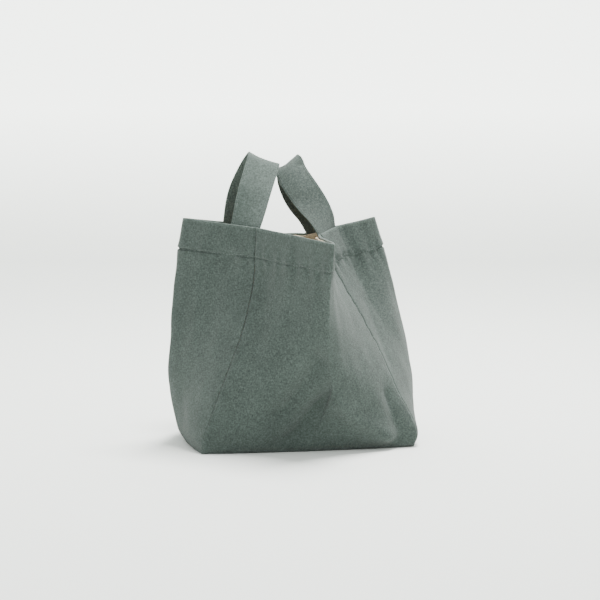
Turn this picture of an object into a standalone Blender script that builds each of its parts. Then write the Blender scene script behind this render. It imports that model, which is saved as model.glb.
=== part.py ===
"""Small canvas tote bag that stands by itself, with its mouth pinched into four folds.

Metres, +Z up, the near wide wall faces -Y. Four wall panels, a flat base, a loose lining
and two strap handles whose ends are caught between the hem and the lining.
"""
import math

import bmesh
import bpy
from mathutils import Vector

# Driving sizes of the sewn pieces
BASE_WIDTH = 0.220
BASE_DEPTH = 0.150
WALL_HEIGHT = 0.226
HANDLE_RISE = 0.060
HEM_DEPTH = 0.032
CANVAS = 0.0012
LINING = 0.0010
STRAP_WIDTH = 0.033
STRAP_THICKNESS = 0.0018
STRAP_TUCK = 0.028
STRAP_INSET = 0.0015
CLOTH_GAP = 0.0003
SEAM_GAP = 0.0004
FLOOR_CLEARANCE = 0.0008
RIM_CLEARANCE = 0.004

# The turned hem makes room for a strap's end, so it is as thick as the strap
HEM_FOLD = STRAP_THICKNESS + CLOTH_GAP
HEM_STEP = 0.003
POCKET_MARGIN = 0.001
POCKET_STEP = 0.004

# Lines that run up the walls, counterclockwise seen from above. Seams alternate with folds.
STATIONS = ("near_left", "near", "near_right", "right", "far_right", "far", "far_left", "left")

# How high each line reaches at the rim, as a share of WALL_HEIGHT
RIM_REACH = {
    "near_left": 0.970,
    "near": 0.925,
    "near_right": 0.927,
    "right": 0.993,
    "far_right": 0.900,
    "far": 0.895,
    "far_left": 0.970,
    "left": 1.000,
}

# Sections of the walls: rise is a share of the line's height, crease is how straight the
# cloth runs from line to line, and each place is (x, y) in half widths and half depths.
SECTIONS = (
    dict(rise=0.00, crease=0.80,
         near_left=(-0.94, -0.86), near=(0.00, -0.99), near_right=(1.00, -0.95), right=(1.02, 0.00),
         far_right=(0.98, 0.92), far=(0.00, 0.99), far_left=(-0.86, 0.88), left=(-0.98, 0.02)),
    dict(rise=0.07, crease=0.62,
         near_left=(-0.93, -0.88), near=(0.08, -1.18), near_right=(1.03, -0.97), right=(1.11, -0.02),
         far_right=(1.00, 0.98), far=(-0.05, 1.14), far_left=(-0.88, 0.93), left=(-1.06, 0.03)),
    dict(rise=0.28, crease=0.40,
         near_left=(-0.78, -0.86), near=(0.16, -1.42), near_right=(0.85, -0.89), right=(1.15, -0.04),
         far_right=(0.90, 1.02), far=(-0.11, 1.38), far_left=(-0.83, 0.90), left=(-1.14, 0.06)),
    dict(rise=0.50, crease=0.50,
         near_left=(-0.60, -0.81), near=(0.11, -1.53), near_right=(0.67, -0.75), right=(1.07, -0.03),
         far_right=(0.73, 1.06), far=(-0.21, 1.56), far_left=(-0.67, 0.80), left=(-1.12, 0.05)),
    dict(rise=0.75, crease=0.72,
         near_left=(-0.465, -0.72), near=(0.08, -1.68), near_right=(0.42, -0.55), right=(0.94, 0.01),
         far_right=(0.49, 1.03), far=(-0.35, 1.74), far_left=(-0.46, 0.65), left=(-1.07, 0.06)),
    dict(rise=1.00, crease=0.90,
         near_left=(-0.42, -0.70), near=(0.09, -1.84), near_right=(0.19, -0.42), right=(0.80, 0.05),
         far_right=(0.28, 0.96), far=(-0.45, 1.88), far_left=(-0.35, 0.55), left=(-0.98, 0.06)),
)

# Dents and folds of the walls. start is the line before the dent, across and rise place its
# middle, wide and tall are its reach in the same shares, and depth is a share of BASE_DEPTH.
DENTS = (
    dict(start="near_right", across=0.42, rise=1.00, wide=0.40, tall=0.62, depth=0.062, sharp=True),
    dict(start="far_left", across=0.45, rise=1.00, wide=0.42, tall=0.50, depth=0.030, sharp=True),
    dict(start="near_left", across=0.22, rise=0.50, wide=0.22, tall=0.42, depth=0.026, sharp=False),
    dict(start="near_left", across=0.70, rise=0.19, wide=0.28, tall=0.20, depth=0.030, sharp=False),
    dict(start="near", across=0.72, rise=0.14, wide=0.26, tall=0.16, depth=0.022, sharp=False),
    dict(start="far_right", across=0.70, rise=0.20, wide=0.30, tall=0.22, depth=0.030, sharp=False),
    dict(start="far", across=0.60, rise=0.45, wide=0.30, tall=0.35, depth=0.026, sharp=False),
)

# Rows of the wall mesh between the floor and the hem, as shares of the height
WALL_ROWS = (0.05, 0.11, 0.19, 0.28, 0.38, 0.49, 0.61, 0.73)
WIDE_COLUMNS = (0.0, 0.17, 0.34, 0.50, 0.67, 0.83)
STRAP_COLUMNS = 2
FOLD_COLUMNS = 2

# Routes of the straps above the rim. x and y are half widths and half depths, rise is a share
# of HANDLE_RISE above WALL_HEIGHT, and across points from the seam edge to the fold edge.
LEFT_ROUTE = (
    dict(x=-0.49, y=-0.51, rise=0.12, across=(-0.80, 0.58, 0.12)),
    dict(x=-0.40, y=-0.41, rise=0.43, across=(-0.92, 0.38, 0.13)),
    dict(x=-0.32, y=-0.24, rise=0.76, across=(-0.94, 0.26, 0.24)),
    dict(x=-0.27, y=-0.11, rise=0.94, across=(-0.92, 0.22, 0.33)),
    dict(x=-0.26, y=0.00, rise=0.96, across=(-0.92, 0.20, 0.35)),
    dict(x=-0.31, y=0.14, rise=0.78, across=(-0.94, 0.10, 0.31)),
    dict(x=-0.39, y=0.34, rise=0.40, across=(-0.97, -0.15, 0.18)),
    dict(x=-0.46, y=0.45, rise=0.10, across=(-0.94, -0.33, 0.08)),
)
RIGHT_ROUTE = (
    dict(x=0.25, y=-0.17, rise=0.02, across=(0.84, 0.46, 0.30)),
    dict(x=0.15, y=0.01, rise=0.35, across=(0.88, 0.10, 0.45)),
    dict(x=0.065, y=0.19, rise=0.64, across=(0.86, 0.16, 0.46)),
    dict(x=0.03, y=0.33, rise=0.84, across=(0.76, 0.44, 0.44)),
    dict(x=0.03, y=0.43, rise=0.84, across=(0.74, 0.46, 0.42)),
    dict(x=0.09, y=0.56, rise=0.62, across=(0.90, 0.20, 0.36)),
    dict(x=0.22, y=0.69, rise=0.20, across=(0.88, -0.34, 0.24)),
    dict(x=0.33, y=0.75, rise=-0.08, across=(0.72, -0.62, 0.16)),
)

CANVAS_COLOUR = (0.118, 0.165, 0.152, 1.0)
LINING_COLOUR = (0.50, 0.42, 0.30, 1.0)


def clear_scene():
    for thing in list(bpy.data.objects):
        bpy.data.objects.remove(thing, do_unlink=True)


def cloth_material(name, colour):
    material = bpy.data.materials.new(name)
    material.use_nodes = True
    shader = material.node_tree.nodes["Principled BSDF"]
    shader.inputs["Base Color"].default_value = colour
    shader.inputs["Roughness"].default_value = 0.92
    shader.inputs["Metallic"].default_value = 0.0
    return material


def smooth_between(keys, values, at):
    """Read a smooth curve through values (numbers or vectors) given at rising keys."""
    last = len(keys) - 1
    at = min(max(at, keys[0]), keys[last])
    span = max(i for i in range(last) if keys[i] <= at)

    def slope(i):
        low, high = max(i - 1, 0), min(i + 1, last)
        return (values[high] - values[low]) / (keys[high] - keys[low])

    step = keys[span + 1] - keys[span]
    t = (at - keys[span]) / step
    start = values[span] * (2 * t ** 3 - 3 * t ** 2 + 1) + slope(span) * step * (t ** 3 - 2 * t ** 2 + t)
    end = values[span + 1] * (3 * t ** 2 - 2 * t ** 3) + slope(span + 1) * step * (t ** 3 - t ** 2)
    return start + end


def station_place(name, rise):
    half = Vector((BASE_WIDTH / 2, BASE_DEPTH / 2))
    keys = [row["rise"] for row in SECTIONS]
    places = [Vector(row[name]) * half for row in SECTIONS]
    return smooth_between(keys, places, rise)


def dent_depth(index, across, rise):
    total = 0.0
    for dent in DENTS:
        if STATIONS[index] != dent["start"]:
            continue
        side = abs(across - dent["across"]) / dent["wide"]
        up = abs(rise - dent["rise"]) / dent["tall"]
        if side >= 1 or up >= 1:
            continue
        if dent["sharp"]:
            total += dent["depth"] * (1 - side) * (1 - up)
        else:
            total += dent["depth"] * (0.5 + 0.5 * math.cos(math.pi * side)) * (0.5 + 0.5 * math.cos(math.pi * up))
    return total * BASE_DEPTH


def wall_place(index, across, rise):
    """Outer face of the wall between line index and the next one, in plan."""
    around = [station_place(STATIONS[(index + k) % 8], rise) for k in (-1, 0, 1, 2)]
    straight = around[1].lerp(around[2], across)
    t = across
    smooth = 0.5 * (2 * around[1] + (around[2] - around[0]) * t
                    + (2 * around[0] - 5 * around[1] + 4 * around[2] - around[3]) * t ** 2
                    + (3 * around[1] - around[0] - 3 * around[2] + around[3]) * t ** 3)
    keys = [row["rise"] for row in SECTIONS]
    crease = smooth_between(keys, [row["crease"] for row in SECTIONS], rise)
    place = smooth.lerp(straight, crease)
    along = (around[2] - around[1]).normalized()
    outward = Vector((along.y, -along.x))
    return place - outward * dent_depth(index, across, rise)


def wall_reach(index, across):
    start = RIM_REACH[STATIONS[index]]
    end = RIM_REACH[STATIONS[(index + 1) % 8]]
    return WALL_HEIGHT * (start + (end - start) * across)


def rim_run(index):
    """Length of the rim between line index and the next one."""
    return (station_place(STATIONS[(index + 1) % 8], 1.0) - station_place(STATIONS[index], 1.0)).length


def half_columns(index):
    """Places of the mesh's columns along one half of a panel, with their hem state."""
    start = STATIONS[index]
    if start in ("near_left", "near", "far_right", "far"):
        return [(across, True) for across in WIDE_COLUMNS]
    run = rim_run(index)
    strap_start = STRAP_INSET / run
    strap_end = (STRAP_INSET + STRAP_WIDTH) / run
    pocket_end = strap_end + POCKET_MARGIN / run
    fold_start = pocket_end + POCKET_STEP / run
    columns = [(0.0, False)]
    columns += [(strap_start + (strap_end - strap_start) * k / STRAP_COLUMNS, False)
                for k in range(STRAP_COLUMNS + 1)]
    columns += [(pocket_end, False)]
    columns += [(fold_start + (1.0 - fold_start) * k / FOLD_COLUMNS, True) for k in range(FOLD_COLUMNS + 1)]
    if "_" in start:
        return columns[:-1]
    return [(0.0, True)] + [(1.0 - across, folded) for across, folded in reversed(columns[1:-1])]


# One ring of columns round the bag: (line index, share across, hem is folded there)
COLUMNS = [(index, across, folded) for index in range(8) for across, folded in half_columns(index)]
LINE_COLUMN = {STATIONS[index]: next(k for k, column in enumerate(COLUMNS) if column[0] == index)
               for index in range(8)}
HEM_START = 1.0 - HEM_DEPTH / WALL_HEIGHT
STRAP_START = 1.0 - STRAP_TUCK / WALL_HEIGHT
THIN_ROWS = (0.0,) + WALL_ROWS + (HEM_START - HEM_STEP / WALL_HEIGHT,)
HEM_ROWS = (HEM_START, STRAP_START, 1.0)


def outer_ring(rise):
    return [wall_place(index, across, rise) for index, across, folded in COLUMNS]


def ring_heights(rise):
    return [wall_reach(index, across) * rise for index, across, folded in COLUMNS]


def inset_ring(ring, depths):
    """Move a ring's corners inward so that each side lies its depth behind the outer face."""
    count = len(ring)
    moved = []
    for k in range(count):
        before = (ring[k] - ring[k - 1]).normalized()
        after = (ring[(k + 1) % count] - ring[k]).normalized()
        normal = (Vector((-before.y, before.x)) + Vector((-after.y, after.x))).normalized()
        stretch = max(normal.dot(Vector((-after.y, after.x))), 0.30)
        moved.append(ring[k] + normal * (depths[k] / stretch))
    return moved


def wall_ring(rise, depth):
    """A level ring of points: depth behind the outer face, at the wall's own height."""
    flat = inset_ring(outer_ring(rise), [depth] * len(COLUMNS))
    return [Vector((p.x, p.y, z)) for p, z in zip(flat, ring_heights(rise))]


def hem_ring(rise, in_hem):
    """Inner face of the canvas, which is thicker where the hem is folded in."""
    depths = [CANVAS + HEM_FOLD if in_hem and folded else CANVAS for index, across, folded in COLUMNS]
    flat = inset_ring(outer_ring(rise), depths)
    return [Vector((p.x, p.y, z)) for p, z in zip(flat, ring_heights(rise))]


def mesh_object(name, points, faces, material):
    mesh = bpy.data.meshes.new(name)
    mesh.from_pydata([tuple(point) for point in points], [], faces)
    model = bmesh.new()
    model.from_mesh(mesh)
    bmesh.ops.recalc_face_normals(model, faces=model.faces)
    model.to_mesh(mesh)
    model.free()
    mesh.shade_smooth()
    mesh.set_sharp_from_angle(angle=math.radians(40))
    mesh.materials.append(material)
    model_object = bpy.data.objects.new(name, mesh)
    bpy.context.collection.objects.link(model_object)
    return model_object


def slab_between(name, front, back, material):
    """Close two equal grids of points, front and back, into one thin solid.

    Every layer of cloth splits its cells along the same diagonal, so layers stay parallel.
    """
    rows, columns = len(front), len(front[0])
    points = [point for row in front for point in row] + [point for row in back for point in row]
    half = rows * columns

    def at(side, row, column):
        return side * half + row * columns + column

    faces = []
    for row in range(rows - 1):
        for column in range(columns - 1):
            for side in (0, 1):
                corner = at(side, row, column)
                beyond = at(side, row + 1, column + 1)
                faces.append([corner, at(side, row, column + 1), beyond])
                faces.append([corner, beyond, at(side, row + 1, column)])
    edge = [(0, c) for c in range(columns)] + [(r, columns - 1) for r in range(1, rows)]
    edge += [(rows - 1, c) for c in range(columns - 2, -1, -1)] + [(r, 0) for r in range(rows - 2, 0, -1)]
    for k, (row, column) in enumerate(edge):
        next_row, next_column = edge[(k + 1) % len(edge)]
        faces.append([at(0, row, column), at(1, row, column), at(1, next_row, next_column),
                      at(0, next_row, next_column)])
    return mesh_object(name, points, faces, material)


def trimmed(points):
    """Pull a panel's two ends back from its seams by half the seam gap."""
    first = points[0] + (points[1] - points[0]).normalized() * SEAM_GAP / 2
    last = points[-1] + (points[-2] - points[-1]).normalized() * SEAM_GAP / 2
    return [first] + points[1:-1] + [last]


def wall_panel(name, first_line, last_line, material):
    start, end = LINE_COLUMN[first_line], LINE_COLUMN[last_line]
    count = len(COLUMNS)
    span = [(start + k) % count for k in range((end - start) % count + 1)]
    front, back = [], []
    for rise, in_hem in [(r, False) for r in THIN_ROWS] + [(r, True) for r in HEM_ROWS]:
        outer = wall_ring(rise, 0.0)
        inner = hem_ring(rise, in_hem)
        front.append(trimmed([outer[k] for k in span]))
        back.append(trimmed([inner[k] for k in span]))
    return slab_between(name, front, back, material)


def base_panel(material):
    outline = inset_ring(outer_ring(0.0), [CANVAS + CLOTH_GAP] * len(COLUMNS))
    count = len(outline)
    points = [Vector((p.x, p.y, z)) for z in (0.0, CANVAS) for p in outline]
    faces = [list(range(count))[::-1], list(range(count, 2 * count))]
    faces += [[k, (k + 1) % count, count + (k + 1) % count, count + k] for k in range(count)]
    return mesh_object("base_panel", points, faces, material)


def lining_bag(material):
    """Open cloth bag that follows the inside of the walls down to the base."""
    outer_rows, inner_rows = [], []
    lowest = THIN_ROWS[1]
    for z, rows, extra in ((CANVAS + CLOTH_GAP, outer_rows, 0.0), (CANVAS + CLOTH_GAP + LINING, inner_rows, LINING)):
        low = wall_ring(0.0, CANVAS + FLOOR_CLEARANCE + extra)
        high = wall_ring(lowest, CANVAS + CLOTH_GAP + extra)
        rows.append([a.lerp(b, (z - a.z) / (b.z - a.z)) for a, b in zip(low, high)])
    for rise, depth in [(r, CANVAS) for r in THIN_ROWS[1:]] + [(r, CANVAS + HEM_FOLD) for r in HEM_ROWS]:
        outer_rows.append(wall_ring(rise, depth + CLOTH_GAP))
        inner_rows.append(wall_ring(rise, depth + CLOTH_GAP + LINING))
    count, rows = len(COLUMNS), len(outer_rows)
    points = [p for row in outer_rows for p in row] + [p for row in inner_rows for p in row]
    half = rows * count
    faces = [list(range(count))[::-1], [half + k for k in range(count)]]
    for k in range(count):
        after = (k + 1) % count
        for row in range(rows - 1):
            for low in (row * count, half + row * count):
                high = low + count
                faces.append([low + k, low + after, high + after])
                faces.append([low + k, high + after, high + k])
        top = (rows - 1) * count
        faces.append([top + k, top + after, half + top + after, half + top + k])
    return mesh_object("lining", points, faces, material)


def strap_end(line, forward):
    """Rows of a strap's end from its hem pocket to just above the rim, each (outer, inner) points."""
    first = LINE_COLUMN[line] + (1 if forward else -1)
    span = [first + (k if forward else -k) for k in range(STRAP_COLUMNS + 1)]
    rows = []
    for rise, above in ((STRAP_START, 0.0), (1.0, 0.0), (1.0, RIM_CLEARANCE)):
        lift = Vector((0, 0, above))
        outer = [point + lift for point in wall_ring(rise, CANVAS + CLOTH_GAP)]
        inner = [point + lift for point in wall_ring(rise, CANVAS + CLOTH_GAP + STRAP_THICKNESS)]
        rows.append(([outer[k % len(COLUMNS)] for k in span], [inner[k % len(COLUMNS)] for k in span]))
    return rows


def strap_route(route, start_rows, end_rows, between=2):
    """Rows of the free part of a strap, smoothed through its route from one end to the other."""
    def end_frame(row):
        outer, inner = row
        middle = (outer[0] + outer[-1] + inner[0] + inner[-1]) / 4
        return middle, (outer[-1] - outer[0]).normalized()

    centres, acrosses = [], []
    for row in start_rows[-2:]:
        centre, across = end_frame(row)
        centres.append(centre)
        acrosses.append(across)
    for row in route:
        centres.append(Vector((row["x"] * BASE_WIDTH / 2, row["y"] * BASE_DEPTH / 2,
                               WALL_HEIGHT + row["rise"] * HANDLE_RISE)))
        acrosses.append(Vector(row["across"]).normalized())
    for row in reversed(end_rows[-2:]):
        centre, across = end_frame(row)
        centres.append(centre)
        acrosses.append(across)
    keys = [0.0]
    for a, b in zip(centres, centres[1:]):
        keys.append(keys[-1] + (b - a).length)
    rows = []
    for span in range(1, len(keys) - 2):
        for step in range(between):
            if span == 1 and step == 0:
                continue
            at = keys[span] + (keys[span + 1] - keys[span]) * step / between
            centre = smooth_between(keys, centres, at)
            tangent = (smooth_between(keys, centres, at + 0.0005) - centre).normalized()
            across = smooth_between(keys, acrosses, at)
            across = (across - tangent * across.dot(tangent)).normalized()
            outward = tangent.cross(across)
            shares = [k / STRAP_COLUMNS - 0.5 for k in range(STRAP_COLUMNS + 1)]
            middle = [centre + across * STRAP_WIDTH * share for share in shares]
            rows.append(([p + outward * STRAP_THICKNESS / 2 for p in middle],
                         [p - outward * STRAP_THICKNESS / 2 for p in middle]))
    return rows


def strap_handle(name, start_line, start_forward, end_line, route, material):
    start = strap_end(start_line, start_forward)
    end = strap_end(end_line, not start_forward)
    free = strap_route(route, start, end)
    if start_forward:
        free = [(inner, outer) for outer, inner in free]
    rows = start + free + list(reversed(end))
    if not start_forward:
        rows = [(outer[::-1], inner[::-1]) for outer, inner in rows]
    return slab_between(name, [row[0] for row in rows], [row[1] for row in rows], material)


def stand_on_origin():
    """Put the middle of the bag's bounding box, at its lowest level, on the origin."""
    pieces = list(bpy.data.objects)
    corners = [piece.matrix_world @ vertex.co for piece in pieces for vertex in piece.data.vertices]
    low = Vector([min(c[k] for c in corners) for k in range(3)])
    high = Vector([max(c[k] for c in corners) for k in range(3)])
    for piece in pieces:
        piece.location -= Vector(((low.x + high.x) / 2, (low.y + high.y) / 2, low.z))


def main():
    clear_scene()
    canvas = cloth_material("canvas", CANVAS_COLOUR)
    lining = cloth_material("lining", LINING_COLOUR)
    wall_panel("near_panel", "near_left", "near_right", canvas)
    wall_panel("right_panel", "near_right", "far_right", canvas)
    wall_panel("far_panel", "far_right", "far_left", canvas)
    wall_panel("left_panel", "far_left", "near_left", canvas)
    base_panel(canvas)
    lining_bag(lining)
    strap_handle("left_handle", "near_left", False, "far_left", LEFT_ROUTE, canvas)
    strap_handle("right_handle", "near_right", True, "far_right", RIGHT_ROUTE, canvas)
    stand_on_origin()


main()
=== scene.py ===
import math

import bmesh
import bpy
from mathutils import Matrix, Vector, noise


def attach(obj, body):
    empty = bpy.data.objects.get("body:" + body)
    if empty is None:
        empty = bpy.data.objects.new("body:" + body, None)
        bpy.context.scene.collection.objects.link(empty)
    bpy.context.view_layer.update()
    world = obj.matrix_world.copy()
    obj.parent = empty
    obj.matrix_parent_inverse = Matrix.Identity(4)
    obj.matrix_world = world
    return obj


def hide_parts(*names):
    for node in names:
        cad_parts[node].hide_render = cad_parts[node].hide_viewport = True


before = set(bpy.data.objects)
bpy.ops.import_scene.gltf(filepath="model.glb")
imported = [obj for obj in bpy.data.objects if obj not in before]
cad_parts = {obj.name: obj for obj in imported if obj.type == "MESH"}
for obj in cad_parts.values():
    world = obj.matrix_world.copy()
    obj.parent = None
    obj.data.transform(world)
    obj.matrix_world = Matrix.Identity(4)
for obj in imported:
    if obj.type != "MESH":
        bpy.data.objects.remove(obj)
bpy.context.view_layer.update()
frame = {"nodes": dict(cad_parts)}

# ---------------------------------------------------------------- view, floor and light
# The bag stands on a plain pale floor that curves up behind it, under one soft lamp from
# above and an even sky. The view looks down by about 6 degrees, nearly level with the rim.
VIEW_TURN = math.radians(-13.0)
VIEW_PITCH = math.radians(6.2)
VIEW_DISTANCE = 2.012
VIEW_HEIGHT = 0.36
VIEW_OFFSET = 0.00905
VIEW_LENS = 120.0
FLOOR_COLOUR = (0.80, 0.82, 0.79, 1.0)

right_way = Vector((math.cos(VIEW_TURN), math.sin(VIEW_TURN), 0.0))
forward_way = Vector((-math.sin(VIEW_TURN), math.cos(VIEW_TURN), 0.0))
camera_data = bpy.data.cameras.new("camera")
camera_data.lens = VIEW_LENS
camera_data.sensor_width = 36.0
camera = bpy.data.objects.new("camera", camera_data)
bpy.context.collection.objects.link(camera)
camera.location = right_way * VIEW_OFFSET - forward_way * VIEW_DISTANCE + Vector((0, 0, VIEW_HEIGHT))
camera.rotation_euler = (math.radians(90) - VIEW_PITCH, 0.0, VIEW_TURN)
bpy.context.scene.camera = camera

bpy.ops.object.select_all(action="DESELECT")
bpy.ops.mesh.primitive_grid_add(x_subdivisions=2, y_subdivisions=60, size=1.0, location=(0, 0, 0))
floor = bpy.context.object
floor.name = "floor"
for vertex in floor.data.vertices:
    sideways = vertex.co.x * 9.0
    along = (vertex.co.y + 0.5) * 7.6 - 3.6
    bent = min(max((along - 1.9) / 0.6, 0.0), math.pi / 2)
    flat = min(along, 1.9) + 0.6 * math.sin(bent)
    rise = 0.6 * (1 - math.cos(bent)) + max(along - 1.9 - 0.6 * math.pi / 2, 0.0)
    vertex.co = right_way * sideways + forward_way * flat + Vector((0, 0, rise - 0.0006))
floor.data.shade_smooth()
floor_material = bpy.data.materials.new("pale floor")
floor_material.use_nodes = True
floor_shader = floor_material.node_tree.nodes["Principled BSDF"]
floor_shader.inputs["Base Color"].default_value = FLOOR_COLOUR
floor_shader.inputs["Roughness"].default_value = 0.85
floor_nodes, floor_links = floor_material.node_tree.nodes, floor_material.node_tree.links
floor_place = floor_nodes.new("ShaderNodeTexCoord")
floor_height = floor_nodes.new("ShaderNodeSeparateXYZ")
floor_glow = floor_nodes.new("ShaderNodeMapRange")
floor_glow.inputs["From Min"].default_value = 0.0
floor_glow.inputs["From Max"].default_value = 0.30
floor_glow.inputs["To Max"].default_value = 2.8
floor_shader.inputs["Emission Color"].default_value = (0.96, 1.0, 0.95, 1.0)
floor_links.new(floor_place.outputs["Object"], floor_height.inputs["Vector"])
floor_links.new(floor_height.outputs["Z"], floor_glow.inputs["Value"])
floor_links.new(floor_glow.outputs["Result"], floor_shader.inputs["Emission Strength"])
floor.data.materials.append(floor_material)

world = bpy.data.worlds.new("studio")
bpy.context.scene.world = world
world.use_nodes = True
world.node_tree.nodes["Background"].inputs["Color"].default_value = (0.93, 0.97, 0.95, 1.0)
world.node_tree.nodes["Background"].inputs["Strength"].default_value = 1.5


def soft_lamp(name, place, aim, size, power, colour):
    """A square soft lamp that faces a point."""
    lamp_data = bpy.data.lights.new(name, "AREA")
    lamp_data.shape = "SQUARE"
    lamp_data.size = size
    lamp_data.energy = power
    lamp_data.color = colour
    lamp = bpy.data.objects.new(name, lamp_data)
    bpy.context.collection.objects.link(lamp)
    lamp.location = place
    lamp.rotation_euler = (Vector(aim) - Vector(place)).to_track_quat("-Z", "Y").to_euler()


soft_lamp("window", (0.35, 0.25, 1.95), (0.0, 0.0, 0.12), 0.8, 115.0, (1.0, 1.0, 0.98))

# ---------------------------------------------------------------- canvas walls
# Four panels of washed cotton canvas are sewn edge to edge into a box, two wide ones and
# two narrow ones. The top of each is turned in as a hem and stitched down. Empty, the
# panels fold outward down their middles, so the mouth is pinched into four folds.
BASE_WIDTH = 0.220
BASE_DEPTH = 0.150
WALL_HEIGHT = 0.226
HEM_DEPTH = 0.032
STITCH_DOWN = 0.0300
CLOTH = 0.0008
STRAP_TUCK = 0.027
STRAP_SPANS = ((7.59, 8.03, 1), (5.98, 6.48, -1), (1.98, 2.47, 0), (3.52, 4.02, 0))
MIDDLE = Vector((-0.00055, -0.0015))
LINES = ("near_left", "near", "near_right", "right", "far_right", "far", "far_left", "left")
RIM_REACH = dict(near_left=0.970, near=0.925, near_right=0.927, right=0.993,
                 far_right=0.900, far=0.895, far_left=0.958, left=1.000)
SECTIONS = (
    dict(rise=0.00, crease=0.80,
         near_left=(-0.94, -0.86), near=(0.00, -0.99), near_right=(1.00, -0.95), right=(1.02, 0.00),
         far_right=(0.98, 0.92), far=(0.00, 0.99), far_left=(-0.86, 0.88), left=(-0.98, 0.02)),
    dict(rise=0.07, crease=0.62,
         near_left=(-0.93, -0.88), near=(0.08, -1.18), near_right=(1.03, -0.97), right=(1.11, -0.02),
         far_right=(1.00, 0.98), far=(-0.05, 1.14), far_left=(-0.88, 0.93), left=(-1.06, 0.03)),
    dict(rise=0.28, crease=0.40,
         near_left=(-0.78, -0.86), near=(0.16, -1.42), near_right=(0.85, -0.89), right=(1.15, -0.04),
         far_right=(0.90, 1.02), far=(-0.11, 1.38), far_left=(-0.83, 0.90), left=(-1.14, 0.06)),
    dict(rise=0.50, crease=0.50,
         near_left=(-0.60, -0.81), near=(0.11, -1.53), near_right=(0.67, -0.75), right=(1.07, -0.03),
         far_right=(0.73, 1.06), far=(-0.21, 1.56), far_left=(-0.67, 0.80), left=(-1.12, 0.05)),
    dict(rise=0.75, crease=0.72,
         near_left=(-0.465, -0.72), near=(0.08, -1.68), near_right=(0.42, -0.55), right=(0.94, 0.01),
         far_right=(0.49, 1.03), far=(-0.35, 1.74), far_left=(-0.46, 0.65), left=(-1.07, 0.06)),
    dict(rise=1.00, crease=0.90,
         near_left=(-0.42, -0.70), near=(0.09, -1.84), near_right=(0.19, -0.42), right=(0.80, 0.05),
         far_right=(0.28, 0.96), far=(-0.45, 1.88), far_left=(-0.35, 0.55), left=(-0.98, 0.06)),
)
# Folds of the cloth, each along a line of (lines round the bag, share of the height).
# Depth and width are metres, and a negative depth is a ridge.
FOLDS = (
    dict(line=((0.16, 0.80), (0.22, 0.42), (0.20, 0.18)), depth=0.0035, width=0.014),
    dict(line=((0.84, 0.43), (0.70, 0.32), (0.60, 0.20)), depth=0.0100, width=0.013),
    dict(line=((0.985, 0.29), (0.90, 0.22), (0.80, 0.07)), depth=0.0100, width=0.014),
    dict(line=((0.88, 0.18), (1.00, 0.12)), depth=0.0120, width=0.030),
    dict(line=((1.01, 0.30), (1.10, 0.235), (1.26, 0.17), (1.46, 0.12), (1.66, 0.06)),
         depth=-0.0060, width=0.010),
    dict(line=((1.80, 0.25), (1.76, 0.13), (1.80, 0.05)), depth=0.0045, width=0.010),
    dict(line=((0.50, 0.62), (0.42, 0.40)), depth=0.0022, width=0.016),
    dict(line=((2.30, 0.66), (2.12, 0.40)), depth=0.0020, width=0.010),
    dict(line=((7.55, 0.85), (7.50, 0.30)), depth=0.0026, width=0.014),
    dict(line=((7.20, 0.60), (7.35, 0.15)), depth=0.0022, width=0.012),
    dict(line=((3.60, 0.70), (3.45, 0.25)), depth=0.0032, width=0.012),
    dict(line=((4.25, 0.75), (4.30, 0.35)), depth=0.0040, width=0.014),
    dict(line=((4.80, 0.38), (4.55, 0.18)), depth=0.0045, width=0.011),
    dict(line=((5.02, 0.30), (5.35, 0.12), (5.70, 0.06)), depth=-0.0050, width=0.011),
    dict(line=((5.70, 0.70), (5.78, 0.30)), depth=0.0035, width=0.013),
    dict(line=((6.60, 0.72), (6.45, 0.30)), depth=0.0030, width=0.013),
)
# The straps stiffen the narrow panels, which bend where a strap's edge ends.
STRAP_BENDS = (
    dict(index=2, across=0.42, wide=0.40, tall=0.62, depth=0.0093),
    dict(index=6, across=0.45, wide=0.42, tall=0.50, depth=0.0045),
)


def smooth_between(keys, values, at):
    """A smooth curve through the values at their keys."""
    last = len(keys) - 1
    at = min(max(at, keys[0]), keys[last])
    span = max(i for i in range(last) if keys[i] <= at)

    def slope(i):
        low, high = max(i - 1, 0), min(i + 1, last)
        return (values[high] - values[low]) / (keys[high] - keys[low])

    step = keys[span + 1] - keys[span]
    t = (at - keys[span]) / step
    start = values[span] * (2 * t ** 3 - 3 * t ** 2 + 1) + slope(span) * step * (t ** 3 - 2 * t ** 2 + t)
    end = values[span + 1] * (3 * t ** 2 - 2 * t ** 3) + slope(span + 1) * step * (t ** 3 - t ** 2)
    return start + end


section_rises = [row["rise"] for row in SECTIONS]
section_creases = [row["crease"] for row in SECTIONS]
half_size = Vector((BASE_WIDTH / 2, BASE_DEPTH / 2))
line_places = {line: [Vector(row[line]) * half_size for row in SECTIONS] for line in LINES}
level_cache = {}


def level(rise):
    """The eight lines' places and the crease at one height, worked out once."""
    key = round(rise, 6)
    if key not in level_cache:
        places = [smooth_between(section_rises, line_places[line], rise) for line in LINES]
        level_cache[key] = (places, smooth_between(section_rises, section_creases, rise))
    return level_cache[key]


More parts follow.
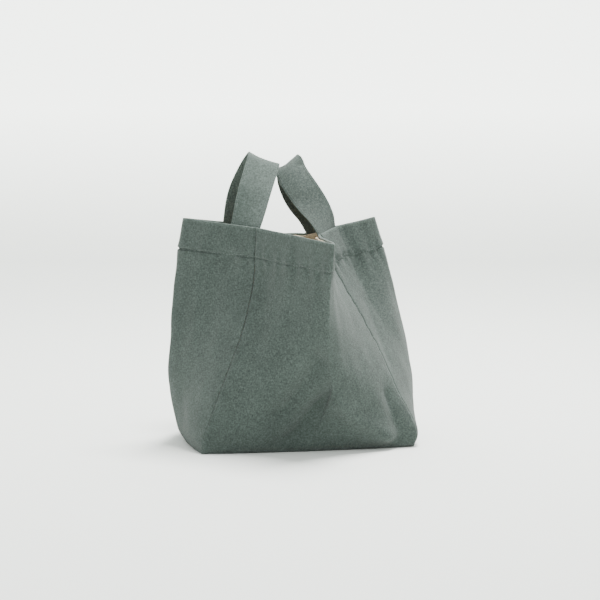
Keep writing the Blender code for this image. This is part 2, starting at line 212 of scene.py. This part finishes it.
def plain_wall(at, rise):
    """The walls' outer face without folds: at counts lines round the bag."""
    places, crease = level(rise)
    index = int(math.floor(at)) % 8
    t = at - math.floor(at)
    before, here, there, after = (places[(index + k) % 8] for k in (-1, 0, 1, 2))
    straight = here.lerp(there, t)
    smooth = 0.5 * (2 * here + (there - before) * t + (2 * before - 5 * here + 4 * there - after) * t ** 2
                    + (3 * here - before - 3 * there + after) * t ** 3)
    place = smooth.lerp(straight, crease)
    for bend in STRAP_BENDS:
        if bend["index"] == index:
            side = abs(t - bend["across"]) / bend["wide"]
            up = abs(rise - 1.0) / bend["tall"]
            if side < 1 and up < 1:
                along = (there - here).normalized()
                place = place - Vector((along.y, -along.x)) * bend["depth"] * (1 - side) * (1 - up)
    reach = RIM_REACH[LINES[index]] * (1 - t) + RIM_REACH[LINES[(index + 1) % 8]] * t
    place = place + MIDDLE
    return Vector((place.x, place.y, WALL_HEIGHT * reach * rise))


def wall_normal(at, rise):
    """The outward direction of the plain wall."""
    step = 0.02
    low, high = max(rise - step, 0.0), min(rise + step, 1.0)
    around = plain_wall(at + step, rise) - plain_wall(at - step, rise)
    up = plain_wall(at, high) - plain_wall(at, low)
    return around.cross(up).normalized()


def half_width(index):
    """Half the cut width of the panel that a line belongs to."""
    return BASE_WIDTH / 2 if index in (0, 1, 4, 5) else BASE_DEPTH / 2


def fold_depth(at, rise):
    """How far the folds push the cloth in."""
    total = 0.0
    for fold in FOLDS:
        wide = half_width(int(fold["line"][0][0]))
        here = Vector((at * wide, rise * WALL_HEIGHT))
        away = 9.0
        for start, end in zip(fold["line"], fold["line"][1:]):
            a = Vector((start[0] * wide, start[1] * WALL_HEIGHT))
            b = Vector((end[0] * wide, end[1] * WALL_HEIGHT))
            along = min(max((here - a).dot(b - a) / (b - a).length_squared, 0.0), 1.0)
            away = min(away, (here - a.lerp(b, along)).length / fold["width"])
        if away < 4:
            total += fold["depth"] * math.exp(-away ** 1.6)
    return total


def strap_share(at, down):
    """1 where a strap's end lies hidden under the hem, down metres below the rim, and 0 beside it."""
    most = 0.0
    lean = 0.09 * down / STRAP_TUCK
    for low, high, way in STRAP_SPANS:
        for turn in (0, 8):
            here = at + turn + lean * way
            most = max(most, min((here - low) / 0.02, (high - here) / 0.02, 1.0))
    return max(most, 0.0) * min(max((STRAP_TUCK - down) / 0.0015, 0.0), 1.0)


def crumple(place, rise, at):
    """Outward shift of washed cotton: soft waves, puckers beside seams and stitches, the thicker hem."""
    fade = min(rise / 0.04, 1.0)
    long_wave = noise.noise(place * 24.0 + Vector((3.1, 0.7, 5.2))) * 0.0014
    short_wave = noise.noise(Vector((place.x * 90, place.y * 90, place.z * 45))) * 0.00045
    wide = half_width(int(at) % 8)
    run = at * wide
    seam = abs(at - 2 * round(at / 2)) * wide
    pucker = math.sin(place.z * 520 + 9 * noise.noise(place * 30)) * 0.0003 * math.exp(-(seam / 0.008) ** 2)
    down = (1.0 - rise) * WALL_HEIGHT
    below = down - STITCH_DOWN
    pull = math.exp(-(below / 0.0011) ** 2) * (0.0007 + 0.0002 * math.sin(run * 1745))
    reach = 0.010 if below > 0 else 0.007
    gather = noise.noise(Vector((run * 95, below * 22, 4.4)))
    gather += 0.5 * noise.noise(Vector((run * 230, below * 40, 9.1)))
    gather *= 0.0036 * math.exp(-abs(below) / reach) * (1 - math.exp(-(below / 0.0012) ** 2))
    thicker = 0.0008 / (1 + math.exp(min(max(below / 0.00045, -30), 30)))
    streak = noise.noise(Vector((run * 55, place.z * 9, 7.7))) * 0.0013 * rise
    rim_wave = 0.0009 * noise.noise(Vector((run * 60, 2.2, 0.4))) * math.exp(-down / 0.010)
    hidden = 0.0010 * strap_share(at, down)
    return (long_wave + short_wave) * fade + streak + pucker - pull + gather + thicker + rim_wave + hidden


def wall_point(at, rise, depth=0.0):
    """A point of the folded wall, depth behind its outer face."""
    place = plain_wall(at, rise)
    out = wall_normal(at, rise)
    low_fade = min(rise / 0.05, 1.0)
    shift = crumple(place, rise, at) - fold_depth(at, rise) * low_fade
    moved = place + out * (shift - depth)
    moved.z = max(moved.z, 0.0)
    return moved


def edge_inside(at, rise, depth):
    """A point depth inside the walls. Next to an outward fold the layers meet on its middle plane."""
    places = level(rise)[0]
    fold_line = 2 * math.floor(at / 2) + 1
    index = fold_line % 8
    side_a = (places[(index - 1) % 8] - places[index]).normalized()
    side_b = (places[(index + 1) % 8] - places[index]).normalized()
    half = max(side_a.angle(side_b) / 2, 0.3)
    wide = half_width(int(at) % 8)
    pushed = min(depth / math.tan(half) / wide, 0.3)
    away = abs(at - fold_line)
    moved = pushed + away * (1 - pushed)
    if away < 1e-6:
        return (wall_point(fold_line - moved, rise, depth) + wall_point(fold_line + moved, rise, depth)) / 2
    return wall_point(fold_line + math.copysign(moved, at - fold_line), rise, depth)


def canvas_material(name, base, dark, light, thread):
    """Plain-weave cotton: threads over and under on the piece's own UV, in metres."""
    material = bpy.data.materials.new(name)
    material.use_nodes = True
    tree = material.node_tree
    nodes, links = tree.nodes, tree.links
    shader = nodes["Principled BSDF"]
    shader.inputs["Roughness"].default_value = 0.93
    shader.inputs["Specular IOR Level"].default_value = 0.22
    shader.inputs["Sheen Weight"].default_value = 0.10
    shader.inputs["Sheen Roughness"].default_value = 0.6

    def node(kind, x, y, **values):
        made = nodes.new(kind)
        made.location = (x, y)
        for key, value in values.items():
            setattr(made, key, value)
        return made

    uv = node("ShaderNodeUVMap", -1500, 0)
    split = node("ShaderNodeSeparateXYZ", -1300, 0)
    links.new(uv.outputs["UV"], split.inputs["Vector"])
    waves = []
    for axis, y in (("X", 200), ("Y", -50)):
        turn = node("ShaderNodeMath", -1100, y, operation="MULTIPLY")
        turn.inputs[1].default_value = math.pi / thread
        links.new(split.outputs[axis], turn.inputs[0])
        wave = node("ShaderNodeMath", -950, y, operation="SINE")
        links.new(turn.outputs[0], wave.inputs[0])
        waves.append(wave)
    weave = node("ShaderNodeMath", -780, 80, operation="MULTIPLY")
    links.new(waves[0].outputs[0], weave.inputs[0])
    links.new(waves[1].outputs[0], weave.inputs[1])
    slub = node("ShaderNodeTexNoise", -1100, -320)
    slub.inputs["Scale"].default_value = 1.0
    slub.inputs["Detail"].default_value = 3.0
    stretch = node("ShaderNodeMapping", -1300, -320)
    stretch.inputs["Scale"].default_value = (240.0, 1900.0, 1.0)
    links.new(uv.outputs["UV"], stretch.inputs["Vector"])
    links.new(stretch.outputs["Vector"], slub.inputs["Vector"])
    slub_up = node("ShaderNodeTexNoise", -1100, -560)
    slub_up.inputs["Scale"].default_value = 1.0
    slub_up.inputs["Detail"].default_value = 3.0
    stretch_up = node("ShaderNodeMapping", -1300, -560)
    stretch_up.inputs["Scale"].default_value = (1900.0, 240.0, 1.0)
    links.new(uv.outputs["UV"], stretch_up.inputs["Vector"])
    links.new(stretch_up.outputs["Vector"], slub_up.inputs["Vector"])
    slubs = node("ShaderNodeMath", -900, -420, operation="ADD")
    links.new(slub.outputs["Fac"], slubs.inputs[0])
    links.new(slub_up.outputs["Fac"], slubs.inputs[1])
    place = node("ShaderNodeTexCoord", -1500, -800)
    wash = node("ShaderNodeTexNoise", -1100, -800)
    wash.inputs["Scale"].default_value = 42.0
    wash.inputs["Detail"].default_value = 4.0
    wash.inputs["Roughness"].default_value = 0.6
    links.new(place.outputs["Object"], wash.inputs["Vector"])
    speck = node("ShaderNodeMath", -700, -500, operation="ADD")
    wash_share = node("ShaderNodeMath", -880, -700, operation="MULTIPLY")
    wash_share.inputs[1].default_value = 0.45
    links.new(wash.outputs["Fac"], wash_share.inputs[0])
    links.new(slubs.outputs[0], speck.inputs[0])
    links.new(wash_share.outputs[0], speck.inputs[1])
    grain = node("ShaderNodeTexNoise", -1100, -1050)
    grain.inputs["Scale"].default_value = 620.0
    grain.inputs["Detail"].default_value = 2.0
    links.new(place.outputs["Object"], grain.inputs["Vector"])
    heather = node("ShaderNodeMath", -600, -560, operation="MULTIPLY_ADD")
    heather.inputs[1].default_value = 1.4
    links.new(grain.outputs["Fac"], heather.inputs[0])
    links.new(speck.outputs[0], heather.inputs[2])
    tone = node("ShaderNodeMapRange", -520, -420)
    tone.inputs["From Min"].default_value = 1.48
    tone.inputs["From Max"].default_value = 2.36
    links.new(heather.outputs[0], tone.inputs["Value"])
    colour = node("ShaderNodeValToRGB", -330, -300)
    colour.color_ramp.elements[0].color = (*dark, 1.0)
    colour.color_ramp.elements[1].color = (*light, 1.0)
    middle = colour.color_ramp.elements.new(0.5)
    middle.color = (*base, 1.0)
    links.new(tone.outputs["Result"], colour.inputs["Fac"])
    # The wear attribute pales the colour: rubbed wear at the seams, painted highlights on the rim, the fold
    # ridges and the strap edges, and painted light over the left strap.
    wear_and_highlight = node("ShaderNodeAttribute", -520, -700, attribute_name="wear_and_highlight")
    worn_and_highlit = node("ShaderNodeMixRGB", -60, -200, blend_type="MULTIPLY")
    worn_and_highlit.inputs["Color2"].default_value = (1.85, 1.82, 1.82, 1.0)
    links.new(wear_and_highlight.outputs["Fac"], worn_and_highlit.inputs["Fac"])
    links.new(colour.outputs["Color"], worn_and_highlit.inputs["Color1"])
    links.new(worn_and_highlit.outputs["Color"], shader.inputs["Base Color"])
    height = node("ShaderNodeMath", -520, 80, operation="ADD")
    fuzz = node("ShaderNodeMath", -700, -120, operation="MULTIPLY")
    fuzz.inputs[1].default_value = 0.9
    links.new(slubs.outputs[0], fuzz.inputs[0])
    links.new(weave.outputs[0], height.inputs[0])
    links.new(fuzz.outputs[0], height.inputs[1])
    bump = node("ShaderNodeBump", -200, 80)
    bump.inputs["Strength"].default_value = 0.55
    bump.inputs["Distance"].default_value = 0.00018
    links.new(height.outputs[0], bump.inputs["Height"])
    links.new(bump.outputs["Normal"], shader.inputs["Normal"])
    return material


canvas = canvas_material("washed canvas", (0.045, 0.060, 0.053), (0.025, 0.034, 0.030),
                         (0.075, 0.098, 0.087), 0.00062)


def cloth_grid(name, points, wear_and_highlight_rows, uvs, material, thickness, closed=False, offset=-1.0):
    """Shape a subdivided grid into rows of points, give it UVs in metres and its thickness."""
    rows, columns = len(points), len(points[0])
    bpy.ops.object.select_all(action="DESELECT")
    bpy.ops.mesh.primitive_grid_add(x_subdivisions=columns - 1, y_subdivisions=rows - 1, size=1.0,
                                    calc_uvs=False, location=(0, 0, 0))
    piece = bpy.context.object
    piece.name = name
    mesh = piece.data
    mesh.name = name
    uv_layer = mesh.uv_layers.new(name="UVMap")
    wear_and_highlight_layer = mesh.attributes.new("wear_and_highlight", "FLOAT", "POINT")
    for index, vertex in enumerate(mesh.vertices):
        row, column = divmod(index, columns)
        vertex.co = points[row][column]
        wear_and_highlight_layer.data[index].value = wear_and_highlight_rows[row][column]
    for loop in mesh.loops:
        row, column = divmod(loop.vertex_index, columns)
        uv_layer.data[loop.index].uv = uvs[row][column]
    if closed:
        model = bmesh.new()
        model.from_mesh(mesh)
        bmesh.ops.remove_doubles(model, verts=model.verts, dist=0.00001)
        model.to_mesh(mesh)
        model.free()
    mesh.materials.append(material)
    mesh.shade_smooth()
    wall = piece.modifiers.new("thickness", "SOLIDIFY")
    wall.thickness = thickness
    wall.offset = offset
    wall.use_even_offset = False
    bpy.ops.object.modifier_apply(modifier=wall.name)
    return piece


def wear_and_highlight_of(at, rise):
    """Paler cloth: rubbed wear along the seams, and painted highlight along the rim and down the upper fold
    ridges.
    """
    wide = half_width(int(at) % 8)
    seam = abs(at - 2 * round(at / 2)) * wide
    ridge = abs(at - (2 * math.floor(at / 2) + 1)) * wide
    hem = (1.0 - rise) * WALL_HEIGHT
    # Painted highlight along the rim's edge, rubbed wear along the seams.
    rub_and_highlight = 0.75 * math.exp(-(hem / 0.0014) ** 2) + 0.28 * math.exp(-(seam / 0.0016) ** 2)
    # Painted highlight down the fold ridges above a quarter of the height.
    rub_and_highlight += 0.30 * math.exp(-(ridge / 0.0022) ** 2) * min(max((rise - 0.25) * 3, 0), 1)
    return min(rub_and_highlight, 1.0)


# One line of cotton thread holds the hem, 30 mm below the rim, and one runs along each
# edge of the straps. Each stitch is a short bead of thread pulled into the cloth.
STITCH_LENGTH = 0.0029
STITCH_PITCH = 0.0036
STITCH_THICK = 0.00033

thread = bpy.data.materials.new("thread")
thread.use_nodes = True
thread_shader = thread.node_tree.nodes["Principled BSDF"]
thread_shader.inputs["Base Color"].default_value = (0.075, 0.098, 0.087, 1.0)
thread_shader.inputs["Roughness"].default_value = 0.7
thread_shader.inputs["Sheen Weight"].default_value = 0.2


def stitch_line(name, path, node_name):
    """Beads of thread along a path of (place, outward direction) pairs."""
    bpy.ops.object.select_all(action="DESELECT")
    bpy.ops.mesh.primitive_uv_sphere_add(segments=6, ring_count=4, radius=0.5, location=(0, 0, 0))
    bead = bpy.context.object
    shape = [vertex.co.copy() for vertex in bead.data.vertices]
    faces = [list(face.vertices) for face in bead.data.polygons]
    runs = [0.0]
    for a, b in zip(path, path[1:]):
        runs.append(runs[-1] + (b[0] - a[0]).length)
    places, shells = [], []
    count = int(runs[-1] / STITCH_PITCH)
    segment = 0
    for k in range(count):
        middle = (k + 0.5) * STITCH_PITCH
        while runs[segment + 1] < middle:
            segment += 1
        share = (middle - runs[segment]) / (runs[segment + 1] - runs[segment])
        centre = path[segment][0].lerp(path[segment + 1][0], share)
        out = path[segment][1].lerp(path[segment + 1][1], share).normalized()
        along = (path[segment + 1][0] - path[segment][0]).normalized()
        side = out.cross(along)
        start = len(places)
        for co in shape:
            places.append(centre + along * co.z * STITCH_LENGTH + side * co.x * STITCH_THICK * 1.5
                          + out * co.y * STITCH_THICK * 1.3)
        shells += [[start + corner for corner in face] for face in faces]
    mesh = bpy.data.meshes.new(name)
    mesh.from_pydata([tuple(place) for place in places], [], shells)
    old = bead.data
    bead.data = mesh
    bpy.data.meshes.remove(old)
    bead.name = name
    mesh.materials.append(thread)
    mesh.shade_smooth()
    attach(bead, "root")
    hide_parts(node_name)
    return bead


def hem_path(start):
    """The hem's stitching along one panel."""
    rise = 1.0 - STITCH_DOWN / WALL_HEIGHT
    path = []
    for k in range(4, 197):
        at = start + 2.0 * k / 200
        path.append((wall_point(at, rise, -0.00005), wall_normal(at, rise)))
    return path


WIDE_COLUMNS = 112
NARROW_COLUMNS = 84
ROW_STEP = 0.0023
FINE_STEP = 0.0006
SEAM_SINK = 0.0005
TURNED = 0.0022
RIM_STEPS = 5


def wall_panel(name, start, node_name):
    """One panel: its outer face from the floor to the rim, rolled over and turned inside."""
    count = WIDE_COLUMNS if start in (0, 4) else NARROW_COLUMNS
    columns = [start + 2.0 * k / count for k in range(count + 1)]
    downs = [WALL_HEIGHT]
    while downs[-1] > ROW_STEP:
        fine = abs(downs[-1] - STITCH_DOWN) < 0.0035
        downs.append(downs[-1] - (FINE_STEP if fine else ROW_STEP))
    rows = [1.0 - down / WALL_HEIGHT for down in downs]
    points, wear_and_highlight_rows, uvs = [], [], []
    wide = half_width(int(start) % 8)

    def sink(at):
        seam = abs(at - 2 * round(at / 2)) * wide
        return SEAM_SINK * math.exp(-(seam / 0.0013) ** 2)

    for rise in rows:
        points.append([wall_point(at, rise, sink(at)) for at in columns])
        wear_and_highlight_rows.append([wear_and_highlight_of(at, rise) for at in columns])
        uvs.append([(at * wide, rise * WALL_HEIGHT) for at in columns])
    for step in range(RIM_STEPS + 1):
        angle = math.pi * step / RIM_STEPS
        inward = TURNED / 2 * (1 - math.cos(angle))
        above = TURNED / 2 * math.sin(angle) * 0.6
        lift = Vector((0, 0, above - 0.0004))
        points.append([edge_inside(at, 1.0, sink(at) + inward) + lift for at in columns])
        # Painted highlight: the rolled rim is paled all along its top.
        wear_and_highlight_rows.append([0.75 for at in columns])
        uvs.append([(at * wide, WALL_HEIGHT + inward) for at in columns])
    for rise in (0.985, 0.95, 0.91, 1.0 - HEM_DEPTH / WALL_HEIGHT):
        points.append([edge_inside(at, rise, sink(at) + TURNED) for at in columns])
        wear_and_highlight_rows.append([0.1 for at in columns])
        uvs.append([(at * wide, 2 * WALL_HEIGHT - rise * WALL_HEIGHT) for at in columns])
    panel = cloth_grid(name, points, wear_and_highlight_rows, uvs, canvas, CLOTH)
    stitches = stitch_line(name + "_stitches", hem_path(start), node_name)
    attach(panel, "root")
    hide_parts(node_name)


wall_panel("near_wall", 0, "near_panel")
wall_panel("right_wall", 2, "right_panel")
wall_panel("far_wall", 4, "far_panel")
wall_panel("left_wall", 6, "left_panel")

# ---------------------------------------------------------------- canvas bottom
# One flat oblong of the same canvas closes the bag, sewn to the four walls edge to edge.
# Nothing is in the bag, so it lies flat and is slightly hollow in its middle.
BOTTOM_CELLS = 40


def across_bottom(share_x, share_y, depth, rise):
    """A point of the bottom, blended between the four lower edges of the walls."""
    near = edge_inside(2 * share_x, rise, depth)
    far = edge_inside(6 - 2 * share_x, rise, depth)
    left = edge_inside(7.9999 - 1.9999 * share_y, rise, depth)
    right = edge_inside(2 + 1.9999 * share_y, rise, depth)
    corners = (edge_inside(0.0, rise, depth), edge_inside(2.0, rise, depth),
               edge_inside(6.0, rise, depth), edge_inside(4.0, rise, depth))
    blend = near.lerp(far, share_y) + left.lerp(right, share_x)
    blend -= corners[0].lerp(corners[1], share_x).lerp(corners[2].lerp(corners[3], share_x), share_y)
    return blend


bottom_points, bottom_wear_and_highlight, bottom_uvs = [], [], []
for row in range(BOTTOM_CELLS + 1):
    share_y = row / BOTTOM_CELLS
    line = []
    for column in range(BOTTOM_CELLS + 1):
        share_x = column / BOTTOM_CELLS
        place = across_bottom(share_x, share_y, 0.0011, 0.0)
        inner = min(share_x, 1 - share_x, share_y, 1 - share_y)
        place.z = 0.0012 + min(inner * 6, 1) * 0.0006 * (1 + noise.noise(place * 30))
        line.append(place)
    bottom_points.append(line)
    bottom_wear_and_highlight.append([0.15] * (BOTTOM_CELLS + 1))
    bottom_uvs.append([(k / BOTTOM_CELLS * BASE_WIDTH, share_y * BASE_DEPTH) for k in range(BOTTOM_CELLS + 1)])
bottom = cloth_grid("bottom", bottom_points, bottom_wear_and_highlight, bottom_uvs, canvas, CLOTH)
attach(bottom, "root")
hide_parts("base_panel")

# ---------------------------------------------------------------- lining
# A bag of unbleached plain cotton hangs inside the canvas, caught under the turned hem
# just below the rim. It covers the straps' ends and lies loosely on the bottom.
LINING_COLUMNS = 176
LINING_DEPTH = 0.0035
LINING_STRAP_BULGE = 0.0022
LINING_RISES = (0.012, 0.03, 0.055, 0.085, 0.12, 0.16, 0.20, 0.24, 0.28, 0.32, 0.36, 0.40, 0.44, 0.48,
                0.52, 0.56, 0.60, 0.64, 0.68, 0.72, 0.76, 0.80, 0.83, 0.855, 0.87, 0.885, 0.90, 0.92,
                0.94, 0.96, 0.975, 0.987, 0.995)
FLOOR_RINGS = (0.0, 0.12, 0.26, 0.40, 0.54, 0.68, 0.80, 0.90, 0.97)
STRAP_LOW = 0.86

lining_canvas = canvas_material("unbleached cotton", (0.52, 0.44, 0.32), (0.44, 0.36, 0.25),
                                (0.62, 0.54, 0.41), 0.00050)


def strap_bulge(at, rise):
    """How far a strap's end pushes the lining in."""
    at = at % 8
    most = 0.0
    for low, high, way in STRAP_SPANS:
        inside = max(min((at - low + 0.06) / 0.05, (high + 0.06 - at) / 0.05, 1.0), 0.0)
        inside = max(inside, max(min((at + 8 - low + 0.06) / 0.05, (high + 0.06 - at - 8) / 0.05, 1.0), 0.0))
        most = max(most, inside)
    return LINING_STRAP_BULGE * most * min(max((rise - STRAP_LOW + 0.03) / 0.03, 0), 1)


lining_points, lining_wear_and_highlight, lining_uvs = [], [], []
lining_ats = [8.0 * k / LINING_COLUMNS for k in range(LINING_COLUMNS)] + [0.0]
girth = 2 * (BASE_WIDTH + BASE_DEPTH)
low_ring = [edge_inside(at, LINING_RISES[0], LINING_DEPTH) for at in lining_ats]
low_centre = sum(low_ring[:-1], Vector()) / LINING_COLUMNS
for share in FLOOR_RINGS:
    line = []
    for place in low_ring:
        here = low_centre.lerp(place, share)
        here.z = 0.0030 + 0.0008 * (1 - share ** 4) * noise.noise(here * 35) + 0.0006 * share ** 6
        line.append(here)
    lining_points.append(line)
    lining_wear_and_highlight.append([0.0] * (LINING_COLUMNS + 1))
    lining_uvs.append([(here.x, here.y - 0.5) for here in line])
for rise in LINING_RISES:
    hang = math.sin(math.pi * min(rise / 0.85, 1.0))
    line = []
    for at in lining_ats:
        turn = Vector((math.cos(at * 0.785) * 3, math.sin(at * 0.785) * 3, rise * 4))
        loose = 0.0012 * hang * (1 + noise.noise(turn))
        line.append(edge_inside(at, rise, LINING_DEPTH + loose + strap_bulge(at, rise)))
    lining_points.append(line)
    lining_wear_and_highlight.append([0.0] * (LINING_COLUMNS + 1))
    lining_uvs.append([(girth * k / LINING_COLUMNS, rise * WALL_HEIGHT) for k in range(LINING_COLUMNS + 1)])
lining = cloth_grid("inner_lining", lining_points, lining_wear_and_highlight, lining_uvs, lining_canvas, 0.0007, closed=True)
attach(lining, "root")
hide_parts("lining")

# ---------------------------------------------------------------- handles
# Two straps of folded canvas, 33 mm wide, run from the near to the far edge of each narrow
# wall. Their ends are sewn in between hem and lining, and they lean towards each other.
STRAP_WIDTH = 0.033
STRAP_THICKNESS = 0.0017
STRAP_DEPTH = 0.0041
HANDLE_RISE = 0.060
STRAP_ROWS = 74
STRAP_SHARES = (-0.5, -0.47, -0.43, -0.405, -0.38, -0.28, -0.15, 0.0,
                0.15, 0.28, 0.38, 0.405, 0.43, 0.47, 0.5)
# Each strap's canvas is paled by a share of painted light, large on the left strap for the light on its
# upturned near leg.
LEFT_STRAP = dict(
    near=(7.60, 8.03), far=(6.46, 6.02), lean=-1, painted_light_share=0.45,
    route=(
        dict(x=-0.40, y=-0.41, rise=0.43, across=(-0.92, 0.38, 0.13)),
        dict(x=-0.32, y=-0.24, rise=0.76, across=(-0.94, 0.26, 0.24)),
        dict(x=-0.27, y=-0.11, rise=0.94, across=(-0.92, 0.22, 0.33)),
        dict(x=-0.26, y=0.00, rise=0.96, across=(-0.92, 0.20, 0.35)),
        dict(x=-0.31, y=0.14, rise=0.78, across=(-0.94, 0.10, 0.31)),
        dict(x=-0.39, y=0.34, rise=0.40, across=(-0.97, -0.15, 0.18)),
    ))
RIGHT_STRAP = dict(
    near=(2.456, 2.02), far=(3.54, 3.98), lean=0, painted_light_share=0.04,
    route=(
        dict(x=0.25, y=-0.17, rise=0.02, across=(0.84, 0.46, 0.30)),
        dict(x=0.15, y=0.01, rise=0.35, across=(0.88, 0.10, 0.45)),
        dict(x=0.065, y=0.19, rise=0.64, across=(0.86, 0.16, 0.46)),
        dict(x=0.03, y=0.33, rise=0.84, across=(0.76, 0.44, 0.44)),
        dict(x=0.03, y=0.43, rise=0.84, across=(0.74, 0.46, 0.42)),
        dict(x=0.09, y=0.56, rise=0.62, across=(0.90, 0.20, 0.36)),
        dict(x=0.22, y=0.69, rise=0.20, across=(0.88, -0.34, 0.24)),
        dict(x=0.33, y=0.75, rise=-0.08, across=(0.72, -0.62, 0.16)),
    ))


def strap_frames(strap):
    """Centre and crosswise direction of the strap at each row, from one sewn end to the other."""
    def sewn(span):
        rows = []
        for down in (STRAP_TUCK, STRAP_TUCK / 2, 0.0):
            lean = 0.09 * down / STRAP_TUCK * strap["lean"]
            rise = 1.0 - down / WALL_HEIGHT
            fold_edge, seam_edge = (edge_inside(at + lean, rise, STRAP_DEPTH) for at in span)
            rows.append(((fold_edge + seam_edge) / 2, (fold_edge - seam_edge).normalized()))
        return rows

    frames = sewn(strap["near"])
    for row in strap["route"]:
        place = Vector((row["x"] * BASE_WIDTH / 2 + MIDDLE.x, row["y"] * BASE_DEPTH / 2 + MIDDLE.y,
                        WALL_HEIGHT + row["rise"] * HANDLE_RISE))
        frames.append((place, Vector(row["across"]).normalized()))
    frames += reversed(sewn(strap["far"]))
    keys = [0.0]
    for a, b in zip(frames, frames[1:]):
        keys.append(keys[-1] + (b[0] - a[0]).length)
    rows = []
    for step in range(STRAP_ROWS + 1):
        at = keys[-1] * step / STRAP_ROWS
        back = max(at - 0.0004, 0.0)
        centre = smooth_between(keys, [frame[0] for frame in frames], at)
        ahead = smooth_between(keys, [frame[0] for frame in frames], min(at + 0.0004, keys[-1]))
        behind = smooth_between(keys, [frame[0] for frame in frames], back)
        tangent = (ahead - behind).normalized()
        across = smooth_between(keys, [frame[1] for frame in frames], at)
        across = (across - tangent * across.dot(tangent)).normalized()
        rows.append((centre, across, tangent.cross(across), at))
    return rows


def strap_handle(name, strap, node_name):
    """One strap: a slightly cupped band with rounded edges and stitching on both faces."""
    points, wear_and_highlight_rows, uvs = [], [], []
    for centre, across, out, at in strap_frames(strap):
        line = []
        for share in STRAP_SHARES:
            cup = 0.0010 * (share * share * 4 - 0.4)
            wave = 0.0003 * noise.noise(Vector((share * 2, at * 60, 1.7)))
            groove = 0.00018 if abs(abs(share) - 0.43) < 0.001 else 0.0
            line.append(centre + across * STRAP_WIDTH * share + out * (cup + wave - groove))
        points.append(line)
        # Painted highlight along both strap edges; the rest of the strap is paled by its share of painted
        # light.
        wear_and_highlight_rows.append([0.75 if abs(share) > 0.48 else strap["painted_light_share"] for share in STRAP_SHARES])
        uvs.append([(share * STRAP_WIDTH, at) for share in STRAP_SHARES])
    handle = cloth_grid(name, points, wear_and_highlight_rows, uvs, canvas, STRAP_THICKNESS, offset=0.0)
    rounding = handle.modifiers.new("rounding", "BEVEL")
    rounding.width = 0.0006
    rounding.segments = 2
    rounding.limit_method = "ANGLE"
    rounding.angle_limit = math.radians(60)
    bpy.ops.object.modifier_apply(modifier=rounding.name)
    rows = strap_frames(strap)
    seams = []
    for edge in (-0.43, 0.43):
        for face in (-1, 1):
            lift = face * (STRAP_THICKNESS / 2 + 0.00006) + 0.0010 * (edge * edge * 4 - 0.4) - 0.00018
            path = [(centre + across * STRAP_WIDTH * edge
                     + out * (lift + 0.0003 * noise.noise(Vector((edge * 2, at * 60, 1.7)))), out * face)
                    for centre, across, out, at in rows[9:-9]]
            seams.append(stitch_line(f"{name}_stitches_{len(seams) + 1}", path, node_name))
    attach(handle, "root")
    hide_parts(node_name)


strap_handle("left_strap", LEFT_STRAP, "left_handle")
strap_handle("right_strap", RIGHT_STRAP, "right_handle")
